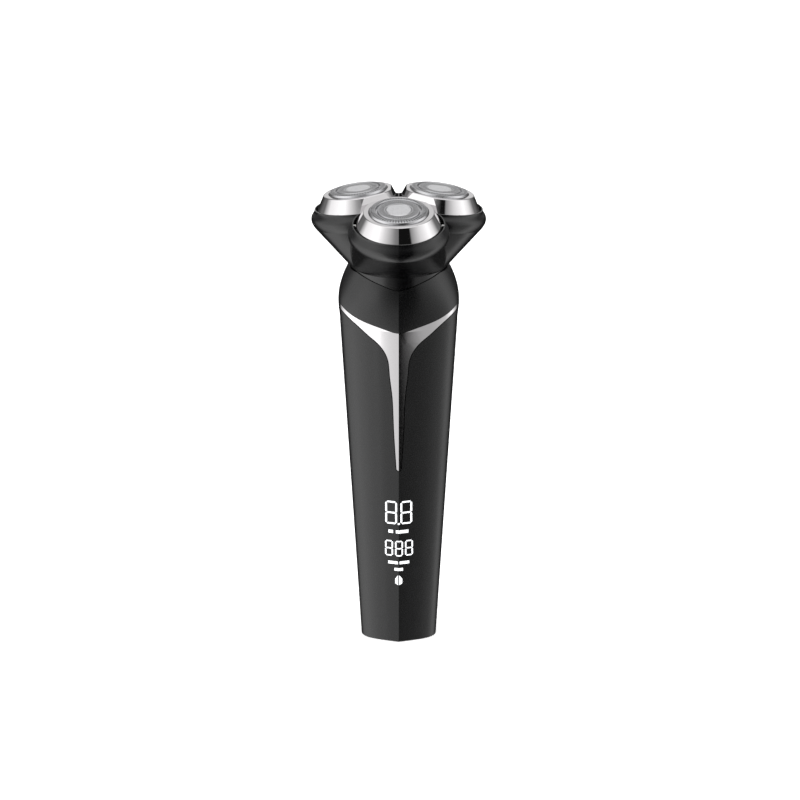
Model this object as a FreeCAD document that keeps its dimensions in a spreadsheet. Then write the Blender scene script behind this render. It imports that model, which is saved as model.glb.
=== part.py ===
"""Three-head rotary electric shaver, modelled in millimetres.

+Z runs up the handle, -Y is the display side, and the origin is the middle of the flat foot.
The handle is two shells with a ridge down the front, a chromed inlay, a shoulder ring and a base cap.
The head pulls off upwards. It holds a gear train and three tilting covers, each with a guard that
floats on its cutter.
"""
import FreeCAD, Part
import math
import os
import Sketcher
from FreeCAD import Placement, Rotation, Vector

os.makedirs("parts", exist_ok=True)
doc = FreeCAD.newDocument("Shaver")
sheet = doc.addObject("Spreadsheet::Sheet", "sizes")

DIMENSIONS = {
    # handle outside
    "foot_half_width": 13.25, "top_half_width": 20.2, "foot_ridge": 11.0, "top_ridge": 18.5,
    "foot_back": 9.8, "top_back": 17.2, "taper_height": 119.2, "shell_wall": 1.8,
    "parting_y": -1.0,
    # inlay
    "inlay_depth": 1.0, "inlay_gap": 0.3,
    # neck and head
    "neck_radius": 16.6, "neck_wall": 2.0, "neck_foot": 128.9, "neck_top": 138.4,
    "socket_radius": 16.9, "lobe_reach": 16.1, "lobe_height": 161.6, "lobe_tilt": 8.5,
    "rim_radius": 15.75, "rim_drop": 4.5, "belly_radius": 17.3, "recess_floor": 6.5,
    "recess_play": 0.35, "tilt_axis_drop": 5.2,
    # chromed covers
    "cover_top_radius": 12.0, "cover_top_inset": 2.6, "cover_foot_radius": 15.0,
    "cover_foot_inset": 1.0, "cover_height": 5.5, "cover_bore": 10.3, "cover_cavity": 11.1,
    # guards and cutters
    "guard_stand": 0.9, "guard_skin": 0.4, "blade_count": 15,
    # gear train
    "gear_module": 0.68, "sun_teeth": 18, "planet_teeth": 27, "gear_thick": 2.2,
    "gear_level": 147.6, "spindle_radius": 1.5, "running_gap": 0.08,
    # motor and power
    "motor_radius": 12.0, "motor_length": 30.0, "motor_level": 86.0,
    "shaft_radius": 1.0, "cell_radius": 7.1, "cell_length": 50.0, "cell_level": 16.0,
    "cell_y": 1.6, "board_half_width": 6.5, "board_length": 56.0, "board_thick": 1.0,
    "board_level": 13.0, "board_y": -7.6, "button_radius": 5.0, "button_level": 76.0,
    "foot_cap_thick": 2.4,
}
for row, (alias, value) in enumerate(DIMENSIONS.items(), start=1):
    sheet.set(f"A{row}", alias)
    sheet.set(f"B{row}", str(value))
    sheet.setAlias(f"B{row}", alias)
doc.recompute()

UP = Vector(0, 0, 1)
PORT_Y = 4.2  # the charging socket sits behind the middle of the foot
LOBE_ANGLES = (-90.0, 30.0, 150.0)
pieces = []


def size(alias):
    return float(sheet.get(alias))


def keep(piece, label):
    """Names a finished piece; its label names its file."""
    piece.Label = label
    pieces.append(piece)
    return piece


def bind(piece, **expressions):
    for prop, formula in expressions.items():
        piece.setExpression(prop, formula)
    return piece


def cylinder(name, radius, height, at=Vector(), turn=Rotation()):
    piece = bind(doc.addObject("Part::Cylinder", name), Radius=radius, Height=height)
    piece.Placement = Placement(at, turn)
    return piece


def box(name, length, width, height, at):
    piece = bind(doc.addObject("Part::Box", name), Length=length, Width=width, Height=height)
    piece.Placement = Placement(at, Rotation())
    return piece


def cut(name, base, *tools):
    for index, tool in enumerate(tools):
        piece = doc.addObject("Part::Cut", f"{name}_{index}")
        piece.Base, piece.Tool = base, tool
        base = piece
    return base


def fuse(name, *parts):
    piece = doc.addObject("Part::MultiFuse", name)
    piece.Shapes = list(parts)
    return piece


def tube(name, outer, inner, height, at=Vector(), turn=Rotation()):
    return cut(name, cylinder(name + "_out", outer, height, at, turn),
               cylinder(name + "_in", inner, height, at, turn))


def freeform(label, shape):
    """A piece whose curved shape is made by Part's own functions."""
    piece = doc.addObject("Part::Feature", label + "_form")
    piece.Shape = shape
    return keep(piece, label)


def sketch_on(body, plane_role, name, offset=0.0):
    plane = [f for f in body.Origin.OriginFeatures if f.Role == plane_role][0]
    sketch = body.newObject("Sketcher::SketchObject", name)
    sketch.AttachmentSupport = (plane, [""])
    sketch.MapMode = "FlatFace"
    sketch.AttachmentOffset = Placement(Vector(0, 0, offset), Rotation())
    return sketch


def bind_circle(sketch, index, radius_formula, name):
    constraint = sketch.addConstraint(Sketcher.Constraint("Radius", index, 1.0))
    sketch.renameConstraint(constraint, name)
    sketch.setExpression(f".Constraints.{name}", radius_formula)


def circle_sketch(body, plane_role, name, formulas, offset=0.0, centre=(0.0, 0.0)):
    """Concentric circles whose radii follow the sheet."""
    sketch = sketch_on(body, plane_role, name, offset)
    for number, formula in enumerate(formulas):
        middle = Vector(centre[0], centre[1], 0)
        index = sketch.addGeometry(Part.Circle(middle, UP, 1.0 + number), False)
        bind_circle(sketch, index, formula, f"ring{number}")
    return sketch


def pad(body, name, sketch, length_formula, reverse=False):
    feature = body.newObject("PartDesign::Pad", name)
    feature.Profile = sketch
    feature.Reversed = reverse
    feature.setExpression("Length", length_formula)
    return feature


# ---------------------------------------------------------------- handle form
# across (share of half width), and back from the ridge (share of half width) for the ridged front
RIDGED_FRONT = ((0.45, 0.14), (0.80, 0.30), (0.955, 0.47), (1.0, 0.80))
ROUND_BACK = ((0.86, 0.55), (0.50, 0.89))


def section(half_width, ridge, back, level, roundness=0.0):
    """One level of the handle: a blunt ridge in front, round sides and a round back.

    Roundness 1 turns it into an oval about the origin."""
    widest = -ridge + RIDGED_FRONT[-1][1] * half_width
    ridged = [(share, -ridge + rise * half_width) for share, rise in RIDGED_FRONT]
    ridged += [(share, widest + rise * (back - widest)) for share, rise in ROUND_BACK]
    half = [Vector(0, -ridge, level)]
    for number, (share, y_ridged) in enumerate(ridged):
        arc = math.sqrt(max(0.0, 1.0 - share ** 2))
        y_oval = -ridge * arc if number < len(RIDGED_FRONT) else back * arc
        y = y_ridged + (y_oval - y_ridged) * roundness
        half.append(Vector(share * half_width, y, level))
    half.append(Vector(0, back, level))
    lean = 0.29 * (1.0 - roundness)
    right = Part.BSplineCurve()
    right.interpolate(Points=half, InitialTangent=Vector(1, lean, 0), FinalTangent=Vector(-1, 0, 0))
    mirrored = [Vector(-p.x, p.y, p.z) for p in reversed(half)]
    left = Part.BSplineCurve()
    left.interpolate(Points=mirrored, InitialTangent=Vector(-1, 0, 0), FinalTangent=Vector(1, -lean, 0))
    return Part.Wire([right.toShape(), left.toShape()])


def taper(share, foot, top):
    return size(foot) + (size(top) - size(foot)) * share


def handle_section(level, inward=0.0):
    share = level / size("taper_height")
    return section(taper(share, "foot_half_width", "top_half_width") - inward,
                   taper(share, "foot_ridge", "top_ridge") - inward,
                   taper(share, "foot_back", "top_back") - inward, level)


# rise over the taper's top, half width, ridge, back and roundness of the domed shoulder
SHOULDER = ((0.0, 20.2, 18.5, 17.2, 0.0), (6.8, 20.8, 18.2, 17.5, 0.3), (11.0, 20.3, 17.5, 17.3, 0.7),
            (14.5, 19.2, 16.9, 16.9, 1.0), (18.2, 17.5, 16.2, 16.3, 1.0), (20.6, 15.9, 15.3, 15.4, 1.0))


def handle_form(inward=0.0):
    """The handle's whole outside, or the same moved in by a wall."""
    top = size("taper_height")
    grip = Part.makeLoft([handle_section(0.0, inward), handle_section(top, inward)], True, True)
    rings = [section(width - inward, front - inward, back - inward, top + rise, soft)
             for rise, width, front, back, soft in SHOULDER]
    right_side = Part.makeBox(60, 120, 300, Vector(0, -60, -50))
    right_half = Part.makeLoft(rings, True, False).common(right_side)
    shoulder = right_half.fuse(right_half.mirror(Vector(), Vector(1, 0, 0)))
    return grip.fuse(shoulder)


# the seam under the shoulder, across and up, and the lower edge of the inlay
SEAM = ((0.0, 119.1), (1.9, 119.25), (4.7, 120.0), (10.4, 121.6), (16.1, 123.7), (19.4, 125.6),
        (21.2, 126.9))
BLADE = ((0.76, 68.0), (1.07, 72.8), (1.69, 84.6), (2.27, 96.4), (3.08, 103.5), (3.66, 108.8),
         (4.75, 111.5), (7.6, 115.0), (10.4, 117.2), (13.3, 119.7), (16.1, 121.8), (19.0, 123.8),
         (21.2, 125.4))
BLADE_TIP = 67.2
FRONT = -40.0  # well in front of the handle


def curve_through(profile, mirror=False):
    points = [Vector(-x if mirror else x, FRONT, z) for x, z in profile]
    if mirror:
        points.reverse()
    curve = Part.BSplineCurve()
    curve.interpolate(points)
    return curve.toShape()


def seam_block(drop, below):
    """Everything under, or over, the seam. It dips to a point in front and runs level behind."""
    profile = [(x, z - drop) for x, z in SEAM]
    side, last = profile[-1]
    far = -50.0 if below else 250.0
    frame = [Vector(side, FRONT, last), Vector(60, FRONT, last), Vector(60, FRONT, far),
             Vector(-60, FRONT, far), Vector(-60, FRONT, last), Vector(-side, FRONT, last)]
    wire = Part.Wire([curve_through(profile, True), curve_through(profile)] + Part.makePolygon(frame).Edges)
    ahead = Part.Face(wire).extrude(Vector(0, size("parting_y") - FRONT, 0))
    low, high = (far, last) if below else (last, far)
    rear = Part.makeBox(120, 60, high - low, Vector(-60, size("parting_y"), low))
    return ahead.fuse(rear)


def grown(profile, grow):
    """The same profile moved outward, to the right and down, by a gap."""
    moved = []
    for number, (x, z) in enumerate(profile):
        before, after = profile[max(0, number - 1)], profile[min(len(profile) - 1, number + 1)]
        run, rise = after[0] - before[0], after[1] - before[1]
        length = math.hypot(run, rise)
        moved.append((x + grow * rise / length, z - grow * run / length))
    return moved


def inlay_block(grow=0.0):
    """The Y of the inlay seen from the front: two arms under the seam and a blade down the ridge."""
    edge = grown(BLADE, grow)
    side, last = edge[-1]
    over = 150.0
    corner = Vector(edge[0][0], FRONT, edge[0][1])
    tip = Part.Arc(Vector(-corner.x, FRONT, corner.z), Vector(0, FRONT, BLADE_TIP - grow), corner).toShape()
    frame = Part.makePolygon([Vector(side, FRONT, last), Vector(side, FRONT, over),
                              Vector(-side, FRONT, over), Vector(-side, FRONT, last)])
    wire = Part.Wire([tip, curve_through(edge)] + frame.Edges + [curve_through(edge, True)])
    return Part.Face(wire).extrude(Vector(0, 40, 0))


outside = handle_form()
inside = handle_form(size("shell_wall"))
under_seam = seam_block(0.15, below=True)
over_seam = seam_block(0.0, below=False)
in_front = Part.makeBox(120, 60, 220, Vector(-60, size("parting_y") - 60, -20))
behind = Part.makeBox(120, 60, 220, Vector(-60, size("parting_y"), -20))
arm_limit = Part.makeBox(120, 60, 220, Vector(-60, -66, -20))
seat_limit = Part.makeBox(120, 60, 220, Vector(-60, -65.7, -20))

# lit figures: thin clear pieces let into the cover, seven bars to a figure
SEGMENT = 0.62
FIGURES = ((-4.7, 46.4, 4.1, 8.9), (0.6, 46.4, 4.1, 8.9), (-4.8, 33.9, 2.8, 6.1), (-1.3, 33.9, 2.8, 6.1),
           (2.2, 33.9, 2.8, 6.1))  # left, foot, width and height of each
LABEL_BARS = ((-3.6, 42.9, 1.6, 1.2), (-1.0, 42.9, 4.4, 1.2), (-3.7, 30.8, 3.4, 1.1), (0.3, 30.8, 3.4, 1.1),
              (-1.5, 28.2, 3.0, 1.1), (-0.35, 46.3, 0.7, 0.7))


def bevelled_bar(x, z, length, thick, upright):
    """One bar with pointed ends, ready to be pushed through the cover's skin."""
    half = thick / 2.0
    along = [(0, 0), (half, half), (length - half, half), (length, 0), (length - half, -half),
             (half, -half)]
    points = [Vector(x + b, FRONT, z + a) if upright else Vector(x + a, FRONT, z + b) for a, b in along]
    return Part.Face(Part.makePolygon(points + points[:1])).extrude(Vector(0, 35, 0))


def figure(left, foot, width, height):
    thick = SEGMENT if height > 7 else 0.8 * SEGMENT
    gap = 0.12
    half = thick / 2.0
    rung = (height - thick) / 2.0
    bars = [bevelled_bar(left + half + gap, foot + half + step * rung, width - thick - 2 * gap, thick, False)
            for step in range(3)]
    for column in (left + half, left + width - half):
        for step in range(2):
            low = foot + half + step * rung + gap
            bars.append(bevelled_bar(column, low, rung - 2 * gap, thick, True))
    return bars


lamp_tools = []
for spec in FIGURES:
    lamp_tools += figure(*spec)
for left, foot, width, height in LABEL_BARS:
    lamp_tools.append(Part.makeBox(width, 35, height, Vector(left, FRONT, foot)))
for side in (-1, 1):
    plug = [(0.2, 22.6), (1.25, 23.2), (1.25, 25.0), (0.2, 26.5)]
    points = [Vector(side * x, FRONT, z) for x, z in plug]
    lamp_tools.append(Part.Face(Part.makePolygon(points + points[:1])).extrude(Vector(0, 35, 0)))
lamp_block = Part.makeCompound(lamp_tools)
lamp_tool = lamp_block.cut(handle_form(0.6))
freeform("display_segments", lamp_tool.common(outside))

inlay_core = handle_form(size("inlay_depth"))
inlay_tool = inlay_block(size("inlay_gap")).common(seat_limit).cut(inlay_core)
front_shell = outside.common(in_front).common(under_seam).cut(inside)
freeform("front_cover", front_shell.cut(inlay_tool).cut(lamp_tool))
freeform("chrome_inlay", inlay_block().common(arm_limit).common(outside).common(under_seam).cut(inlay_core))
button_centre = Vector(0, 5, size("button_level"))
button_hole = Part.makeCylinder(size("button_radius") + 0.2, 30, button_centre, Vector(0, 1, 0))
freeform("rear_cover", outside.common(behind).common(under_seam).cut(inside).cut(button_hole))

foot_cap = handle_form(size("shell_wall") + 0.1).common(
    Part.makeBox(80, 80, size("foot_cap_thick"), Vector(-40, -40, 0)))
port_slot = Part.makeBox(9.4, 3.7, 10, Vector(-4.7, PORT_Y - 1.85, -1))
freeform("base_cap", foot_cap.cut(port_slot))

deck_level = 126.4
socket = Part.makeCylinder(size("socket_radius"), 30, Vector(0, 0, deck_level + 2.0))
deck_hole = Part.makeCylinder(5.0, 10, Vector(0, 0, deck_level - 2))
ring_hollow = inside.common(Part.makeBox(80, 80, deck_level - 60, Vector(-40, -40, 60)))
screw_spots = (Vector(12.2, 0, 0), Vector(-12.2, 0, 0))
below_lip = Part.makeBox(80, 80, 137.8, Vector(-40, -40, 0))
ring = outside.common(over_seam).common(below_lip).cut(ring_hollow).cut(socket).cut(deck_hole)
for spot in screw_spots:
    ring = ring.cut(Part.makeCylinder(1.25, 20, spot + Vector(0, 0, deck_level - 8)))
freeform("shoulder_ring", ring)

# ---------------------------------------------------------------- power pack and controls
def boxes(spans):
    """Solid blocks, each given by its two corners."""
    made = []
    for low, high in spans:
        low, high = Vector(*low), Vector(*high)
        made.append(Part.makeBox(high.x - low.x, high.y - low.y, high.z - low.z, low))
    return made


def joined(shapes):
    return shapes[0].multiFuse(shapes[1:]).removeSplitter() if len(shapes) > 1 else shapes[0]


def ring_body(label, formulas, length_formula, level_formula, plane="XY_Plane", centre=(0.0, 0.0),
              finish=True):
    """A round or ring-shaped piece: a sketch of circles, padded."""
    body = doc.addObject("PartDesign::Body", label + "_body")
    sketch = circle_sketch(body, plane, label + "_rings", formulas, centre=centre)
    sketch.setExpression("AttachmentOffset.Base.z", level_formula)
    feature = pad(body, label + "_pad", sketch, length_formula)
    body.Tip = feature
    return keep(body, label) if finish else body


cell = ring_body("battery_cell", ["sizes.cell_radius"], "sizes.cell_length", "sizes.cell_level",
                 centre=(0.0, size("cell_y")))
cell_nub = circle_sketch(cell, "XY_Plane", "cell_nub_ring", ["sizes.cell_radius * 0.32"],
                         centre=(0.0, size("cell_y")))
cell_nub.setExpression("AttachmentOffset.Base.z", "sizes.cell_level + sizes.cell_length")
cell.Tip = pad(cell, "cell_nub_pad", cell_nub, "0.9 mm")

cell_top = size("cell_level") + size("cell_length") + 0.9
freeform("battery_tabs", Part.makeCompound(boxes([
    ((-2.4, -6.2, size("cell_level") - 0.25), (2.4, 6.0, size("cell_level"))),
    ((-2.4, -6.2, cell_top), (2.4, 4.0, cell_top + 0.25))])))

rails = []
for side in (-1, 1):
    near, far = sorted((side * 4.6, side * 8.6))
    rails.append(((near, -6.5, 12.0), (far, -5.4, 82.0)))
    near, far = sorted((side * 7.5, side * 8.8))
    rails.append(((near, -5.4, 12.0), (far, 5.5, 82.0)))
    near, far = sorted((side * 6.1, side * 8.8))
    rails.append(((near, 5.5, 70.0), (far, 8.6, 82.0)))
rails.append(((-8.8, -6.5, 12.0), (8.8, 5.5, 14.0)))
rails.append(((-8.8, -6.5, 79.0), (8.8, 5.5, 82.0)))
chassis = joined(boxes(rails))
freeform("chassis", chassis)

board = box("main_board_box", "sizes.board_half_width * 2", "sizes.board_thick", "sizes.board_length",
            Vector(-size("board_half_width"), size("board_y"), size("board_level")))
keep(board, "main_board")
freeform("board_components", Part.makeCompound(boxes([
    ((-3.4, -8.8, 60.0), (3.4, -7.6, 66.8)), ((-5.9, -8.4, 58.6), (-4.3, -7.6, 62.6)),
    ((4.3, -8.4, 60.2), (5.9, -7.6, 64.6)), ((-5.2, -8.3, 15.2), (-2.2, -7.6, 17.4)),
    ((2.2, -8.3, 15.2), (5.2, -7.6, 17.4)), ((-0.9, -8.3, 14.6), (0.9, -7.6, 17.8))])))
display = box("display_box", "9.6 mm", "1.1 mm", "36 mm", Vector(-4.8, -8.7, 21.5))
keep(display, "display_module")

freeform("auxiliary_boards", Part.makeCompound(boxes([
    ((-5.9, 7.4, 70.0), (5.9, 8.4, 82.0)), ((-5.5, PORT_Y - 2.43, 3.6), (5.5, PORT_Y - 1.63, 11.2))])))
switch_can = box("switch_can", "6 mm", "1.4 mm", "6 mm", Vector(-3.0, 8.4, size("button_level") - 3.0))
plunger = cylinder("switch_plunger", "1.75 mm", "0.3 mm", Vector(0, 9.8, size("button_level")),
                   Rotation(Vector(1, 0, 0), -90))
keep(fuse("switch_whole", switch_can, plunger), "push_switch")

# power button: a cap with a wider flange that stays behind the rear cover
button_face = 15.1
button_flange = cylinder("button_flange", "sizes.button_radius + 1.1", "0.8 mm",
                         Vector(0, 10.9, size("button_level")), Rotation(Vector(1, 0, 0), -90))
button_cap = cylinder("button_cap", "sizes.button_radius", f"{button_face - 10.9} mm",
                      Vector(0, 10.9, size("button_level")), Rotation(Vector(1, 0, 0), -90))
button_solid = fuse("button_solid", button_flange, button_cap)
doc.recompute()
button_edges = [number for number, edge in enumerate(button_solid.Shape.Edges, start=1)
                if edge.BoundBox.YMin > button_face - 0.01]
button_soft = doc.addObject("Part::Fillet", "button_soft")
button_soft.Base = button_solid
button_soft.Edges = [(number, 0.5, 0.5) for number in button_edges]
keep(button_soft, "power_button")


def flat_oval(width, depth, low, high, y_mid):
    """An upright slot-shaped bar with round ends."""
    radius = depth / 2.0
    straight = width / 2.0 - radius
    middle = Part.makeBox(2 * straight, depth, high - low, Vector(-straight, y_mid - radius, low))
    ends = [Part.makeCylinder(radius, high - low, Vector(x, y_mid, low)) for x in (-straight, straight)]
    return middle.multiFuse(ends).removeSplitter()


port_can = flat_oval(8.94, 3.26, 0.5, 8.0, PORT_Y).cut(flat_oval(8.34, 2.66, -1.0, 7.2, PORT_Y))
tongue = Part.makeBox(6.7, 0.7, 6.0, Vector(-3.35, PORT_Y - 0.35, 1.6))
freeform("charging_socket", port_can.fuse(tongue).removeSplitter())
freeform("socket_seal", flat_oval(12.0, 6.2, 2.4, 3.4, PORT_Y).cut(flat_oval(8.94, 3.26, 0, 5, PORT_Y)))

# ---------------------------------------------------------------- motor
motor_z = size("motor_level")
motor_top = motor_z + size("motor_length")
can_wall = 0.9
can_outer = cylinder("can_outer", "sizes.motor_radius", "sizes.motor_length - 3",
                     Vector(0, 0, motor_z + 3.0))
can_inner = cylinder("can_inner", f"sizes.motor_radius - {can_wall}", "sizes.motor_length - 4.2",
                     Vector(0, 0, motor_z + 3.0))
can_nose = cylinder("can_nose", "1.5 mm", "10 mm", Vector(0, 0, motor_top - 5))
mount_holes = [cylinder(f"can_screw_{n}", "0.9 mm", "4 mm", Vector(x, 0, motor_top - 3))
               for n, x in enumerate((-7.5, 7.5))]
keep(cut("motor_can", can_outer, can_inner, can_nose, *mount_holes), "motor_case")
end_cap = fuse("end_cap_whole", cylinder("end_cap_disc", "sizes.motor_radius", "3 mm", Vector(0, 0, motor_z)),
               cylinder("end_cap_boss", "3.2 mm", "1.6 mm", Vector(0, 0, motor_z - 1.6)))
keep(cut("end_cap_cut", end_cap, cylinder("end_cap_hollow", "sizes.motor_radius - 1.4", "2 mm",
                                          Vector(0, 0, motor_z + 1.2)),
         cylinder("end_cap_bore", "1.08 mm", "6 mm", Vector(0, 0, motor_z - 1.2))), "motor_end_cap")

magnet_ring = Part.makeCylinder(10.9, 18, Vector(0, 0, motor_z + 6)).cut(
    Part.makeCylinder(9.6, 18, Vector(0, 0, motor_z + 6)))
gap_block = Part.makeBox(7, 40, 40, Vector(-3.5, -20, motor_z))
freeform("motor_magnets", magnet_ring.cut(gap_block))

stack = Part.makeCylinder(9.1, 15, Vector(0, 0, motor_z + 7.5))
for turn in range(3):
    slot = Part.makeBox(6, 1.6, 30, Vector(6.6, -0.8, motor_z))
    slot = slot.fuse(Part.makeCylinder(2.2, 30, Vector(5.6, 0, motor_z)))
    stack = stack.cut(slot.rotated(Vector(), UP, 120 * turn))
commutator = Part.makeCylinder(3.0, 3.2, Vector(0, 0, motor_z + 3.4))
shaft = Part.makeCylinder(size("shaft_radius"), 133.0 - (motor_z - 0.9), Vector(0, 0, motor_z - 0.9))
sleeve = Part.makeCylinder(2.2, 6, Vector(0, 0, motor_z + 5))
freeform("motor_rotor", joined([stack, commutator, sleeve, shaft]))

mount_form = handle_form(size("shell_wall") + 0.2)
plate_low, plate_high = motor_top, motor_top + 2.0
mount = mount_form.common(Part.makeBox(80, 80, plate_high - plate_low, Vector(-40, -40, plate_low)))
for spot in screw_spots:
    mount = mount.fuse(Part.makeCylinder(2.7, deck_level - plate_high, spot + Vector(0, 0, plate_high)))
    mount = mount.cut(Part.makeCylinder(0.85, 20, spot + Vector(0, 0, plate_high - 1.0)))
mount = mount.cut(Part.makeCylinder(3.4, 20, Vector(0, 0, plate_low - 5)))
for side in (-1, 1):
    mount = mount.cut(Part.makeCylinder(0.95, 20, Vector(7.5 * side, 0, plate_low - 5)))
freeform("motor_mount", mount)


def screw(spot, seat, length, shank, head_radius, head_height):
    """A pan-head screw standing on its seat, with a cross in its head."""
    body = Part.makeCylinder(head_radius, head_height, spot + Vector(0, 0, seat))
    body = body.fuse(Part.makeCylinder(shank, length, spot + Vector(0, 0, seat - length)))
    for width, depth in ((0.5, 2.2), (2.2, 0.5)):
        notch = Part.makeBox(width, depth, head_height, Vector(-width / 2, -depth / 2, seat + 0.45))
        body = body.cut(notch.translated(spot))
    return body


freeform("motor_screws", Part.makeCompound([
    screw(Vector(x, 0, 0), plate_high, 4.4, 0.88, 1.7, 1.1) for x in (-7.5, 7.5)]))
freeform("shoulder_screws", Part.makeCompound([
    screw(spot, deck_level + 2.0, 8.5, 0.84, 1.6, 1.0) for spot in screw_spots]))
keep(tube("seal_ring", "5 mm", "sizes.shaft_radius + 0.1", "2 mm", Vector(0, 0, deck_level)), "shaft_seal")


def hexagon(across_flats, low, height, x=0.0):
    radius = across_flats / 2.0 / math.cos(math.radians(30))
    turns = [math.radians(60 * corner) for corner in range(7)]
    points = [Vector(x + radius * math.cos(turn), radius * math.sin(turn), low) for turn in turns]
    return Part.Face(Part.makePolygon(points)).extrude(Vector(0, 0, height))


coupling = Part.makeCylinder(3.6, 1.2, Vector(0, 0, deck_level + 2.4))
coupling = coupling.fuse(hexagon(4.6, deck_level + 3.6, 4.0))
freeform("drive_coupling", coupling.cut(Part.makeCylinder(size("shaft_radius"), 20, Vector(0, 0, 120))))

# ---------------------------------------------------------------- head: the three-lobed body
TOP_PLANE = size("lobe_height")
TILT = size("lobe_tilt")
LOBES = ("front", "right", "left")


def lobe_placement(angle):
    """Carries a lobe's own frame, X outward and Z out of the guard, to its place on the head."""
    spin = Placement(Vector(), Rotation(UP, angle))
    tip_outward = Placement(Vector(size("lobe_reach"), 0, TOP_PLANE), Rotation(Vector(0, 1, 0), TILT))
    return spin.multiply(tip_outward)


def on_lobe(shape, angle):
    moved = shape.copy()
    moved.Placement = lobe_placement(angle).multiply(shape.Placement)
    return moved


def turned(profile):
    """A solid of revolution about Z from (radius, level) points, with straight sides."""
    points = [Vector(r, 0, z) for r, z in profile]
    return Part.Face(Part.makePolygon(points + points[:1])).revolve(Vector(), UP, 360)


def placed_ring(radius, placement):
    circle = Part.Wire([Part.makeCircle(radius)])
    circle.Placement = placement
    return circle


def sector(angle):
    """The third of space that belongs to one lobe."""
    corners = [Vector(0, 0, 100)]
    for side in (-60, 60):
        turn = math.radians(angle + side)
        corners.append(Vector(90 * math.cos(turn), 90 * math.sin(turn), 100))
    return Part.Face(Part.makePolygon(corners + corners[:1])).extrude(Vector(0, 0, 100))


TUCK = 0.9  # how far a lobe draws in again under its belly


def bulging_rim(belly, rim, low, high):
    """A lobe's round rim: it swells from the underside to the belly and draws in again to the lip."""
    swell = [(belly - TUCK, low), (belly - 0.35, low + 1.1), (belly - 0.05, low + 2.1), (belly, low + 2.8),
             (belly - 0.45, low + 4.2), (rim + 0.1, low + 5.6)]
    swell = [(r, z) for r, z in swell if z < high - 0.3]
    top_radius = rim if high > low + 6.0 else belly
    swell.append((top_radius, high))
    curve = Part.BSplineCurve()
    curve.interpolate([Vector(r, 0, z) for r, z in swell])
    close = Part.makePolygon([Vector(top_radius, 0, high), Vector(0, 0, high), Vector(0, 0, low),
                              Vector(swell[0][0], 0, low)])
    return Part.Face(Part.Wire([curve.toShape()] + close.Edges)).revolve(Vector(), UP, 360)


def lobe_shell(angle, inward, low, high):
    """One lobe: a bulging rim on its own axis, and a slanting cone down to the neck."""
    belly = size("belly_radius") - inward
    wall = bulging_rim(belly, size("rim_radius") - inward, low, high)
    neck = Placement(Vector(0, 0, size("neck_top") - 0.1), Rotation(UP, angle))
    under = lobe_placement(angle).multiply(Placement(Vector(0, 0, low), Rotation()))
    cone = Part.makeLoft([placed_ring(size("neck_radius") + 0.2 - inward, neck),
                          placed_ring(belly - TUCK, under)], True, True)
    return on_lobe(wall, angle).fuse(cone).common(sector(angle))


def cover_form(inset, low, high, play=0.0):
    """The chromed cover's form between two levels: a steep cone trimmed by the two sector planes."""
    tall = size("cover_height")
    top_radius = size("cover_top_radius")
    flare = size("cover_foot_radius") - top_radius

    def radius(level):
        return top_radius - flare * level / tall - inset

    def flat(level):
        share = min(1.0, -level / tall)
        gap = size("cover_top_inset") + share * (size("cover_foot_inset") - size("cover_top_inset"))
        return size("lobe_reach") * math.sin(math.radians(60)) - gap - inset

    if play:
        base = Part.makeCylinder(radius(-tall) + play, high - low, Vector(0, 0, low))
        flats = [flat(-tall) + play] * 2
    else:
        base = Part.makeCone(radius(low), radius(high), high - low, Vector(0, 0, low))
        flats = [flat(low), flat(high)]
    outlines = []
    for level, distance in zip((low, high), flats):
        tip = -distance / math.cos(math.radians(30))
        run = 45.0
        corners = [Vector(tip, 0, level), Vector(tip + run, run * math.sqrt(3), level),
                   Vector(tip + run, -run * math.sqrt(3), level)]
        outlines.append(Part.makePolygon(corners + corners[:1]))
    return base.common(Part.makeLoft(outlines, True, True))


FLOOR = -size("recess_floor")
SPLIT = 149.0
neck_bore = Part.makeCylinder(size("neck_radius") - size("neck_wall"), 8.5, Vector(0, 0, 133))


def hollow_lobe(angle):
    """A lobe's wall and floor, with the recess its cover sits in."""
    lobe = lobe_shell(angle, 0.0, -10.7, -size("rim_drop"))
    lobe = lobe.cut(lobe_shell(angle, 1.4, -10.2, FLOOR - 1.2)).cut(neck_bore)
    return lobe.cut(on_lobe(cover_form(0.0, FLOOR, 8.0, size("recess_play")), angle))


spindle_ring = size("gear_module") * (size("sun_teeth") + size("planet_teeth")) / 2.0
gear_spots = [Vector(spindle_ring * math.cos(math.radians(a)), spindle_ring * math.sin(math.radians(a)), 0)
              for a in LOBE_ANGLES]
AXIS_DROP = -size("tilt_axis_drop")
lobes = [hollow_lobe(angle) for angle in LOBE_ANGLES]
head = lobes[0].multiFuse(lobes[1:])
for angle in LOBE_ANGLES:
    head = head.cut(on_lobe(Part.makeCylinder(3.5, 4.0, Vector(-0.3, 0, FLOOR - 3)), angle))
    pin_hole = Part.makeCylinder(0.5, 31.4, Vector(0, -15.7, AXIS_DROP), Vector(0, 1, 0))
    head = head.cut(on_lobe(pin_hole, angle))
above_split = Part.makeBox(120, 120, 60, Vector(-60, -60, SPLIT))
below_split = Part.makeBox(120, 120, 60, Vector(-60, -60, SPLIT - 60))
upper = head.common(above_split)
freeform("head_frame", max(upper.Solids, key=lambda solid: solid.Volume))
freeform("head_bowl", head.common(below_split).cut(
    Part.makeCylinder(size("neck_radius") - size("neck_wall"), 20, Vector(0, 0, 130))))

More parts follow.
